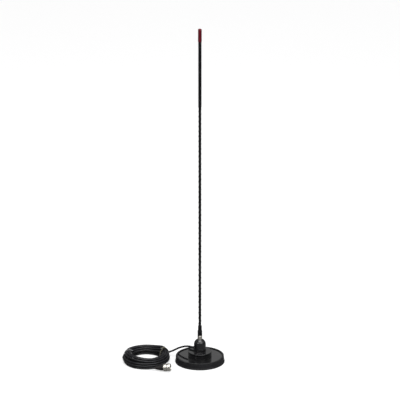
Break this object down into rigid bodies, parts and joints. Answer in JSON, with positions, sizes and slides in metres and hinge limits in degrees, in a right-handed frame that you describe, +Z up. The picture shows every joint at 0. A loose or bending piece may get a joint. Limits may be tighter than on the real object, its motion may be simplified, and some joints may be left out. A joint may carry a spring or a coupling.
{
  "type": "magnetic mount whip antenna",
  "caption": "Loaded fibreglass whip antenna with a red tip cap, screwed into a domed socket on a round rubber-booted magnetic base, with a tied coil of thin coaxial cable and its plug.",
  "frame": {"origin": "centre of the base's underside, on the surface that it stands on", "axes": "+Z up along the whip, -Y the front, -X towards the coiled cable"},
  "size_m": [0.2732, 0.1537, 0.944],
  "materials": {
    "boot_rubber": "matt",
    "gloss_black_steel": "gloss",
    "ferrite": "matt",
    "zinc_steel": "satin",
    "potting_resin": "matt",
    "aluminium_sleeve": "satin",
    "soft_rubber": "matt",
    "gloss_black_casting": "gloss",
    "gloss_black_moulding": "gloss",
    "black_oxide_steel": "satin",
    "tinned_brass": "satin",
    "brass": "satin",
    "nickel_plate": "bright",
    "silver_plate": "bright",
    "copper_wire": "bright",
    "enamelled_wire": "satin",
    "fibreglass": "satin",
    "shrink_jacket": "satin",
    "red_vinyl": "satin",
    "cable_sheath": "satin",
    "plug_boot_rubber": "satin",
    "insulator_plastic": "satin",
    "tie_grey": "satin",
    "tie_olive": "satin"
  },
  "bodies": {
    "base": {"rubber_boot": "boot_rubber", "steel_cup": "gloss_black_steel", "ring_magnet": "ferrite", "pole_plate": "zinc_steel", "resin_ring": "potting_resin", "spacer_sleeve": "aluminium_sleeve", "mount_bolt": "zinc_steel", "flange_gasket": "soft_rubber", "mount_flange": "gloss_black_casting", "dome_base": "gloss_black_moulding", "dome_seal": "soft_rubber", "dome_cap": "gloss_black_moulding", "cap_set_screws": "black_oxide_steel", "base_screws": "zinc_steel", "screw_washers": "zinc_steel", "ground_lug": "tinned_brass", "feed_lug": "tinned_brass", "feed_screw": "brass", "antenna_socket": "nickel_plate", "feed_wire": "copper_wire", "ground_wire": "copper_wire", "cable_gland": "soft_rubber", "cable_entry": "cable_sheath", "coax_lead": "cable_sheath", "coax_coil": "cable_sheath", "coil_tie_left": "tie_grey", "coil_tie_right": "tie_olive", "coax_tail": "cable_sheath", "plug_cable_end": "cable_sheath", "plug_boot": "plug_boot_rubber", "plug_reducer": "nickel_plate", "plug_body": "nickel_plate", "plug_insulator": "insulator_plastic", "centre_pin": "silver_plate"},
    "lock_washer": {"lock_washer": "nickel_plate"},
    "whip": {"ferrule": "nickel_plate", "fibreglass_rod": "fibreglass", "radiator_wire": "enamelled_wire", "loading_coil": "enamelled_wire", "whip_jacket": "shrink_jacket"},
    "tip_cap": {"tip_cap": "red_vinyl"},
    "coupling_ring": {"coupling_ring": "nickel_plate"}
  },
  "joints": [
    {"name": "whip_turn", "type": "hinge", "parent": "base", "child": "lock_washer", "pos_m": [0, 0, 0.0643], "axis": [0, 0, 1], "range_deg": [0, 4423]},
    {"name": "whip_lift", "type": "slide", "parent": "lock_washer", "child": "whip", "axis": [0, 0, 1], "range_m": [0, 0.013]},
    {"name": "cap_pull", "type": "slide", "parent": "whip", "child": "tip_cap", "axis": [0, 0, 1], "range_m": [0, 0.035]},
    {"name": "ring_spin", "type": "hinge", "parent": "base", "child": "coupling_ring", "pos_m": [-0.0966, -0.07, 0.01005], "axis": [0.9721, -0.189, 0.1392], "continuous": true}
  ],
  "couplings": [
    {"joint": "whip_turn", "follows": "whip_lift", "rad_per_m": 5936.9}
  ]
}
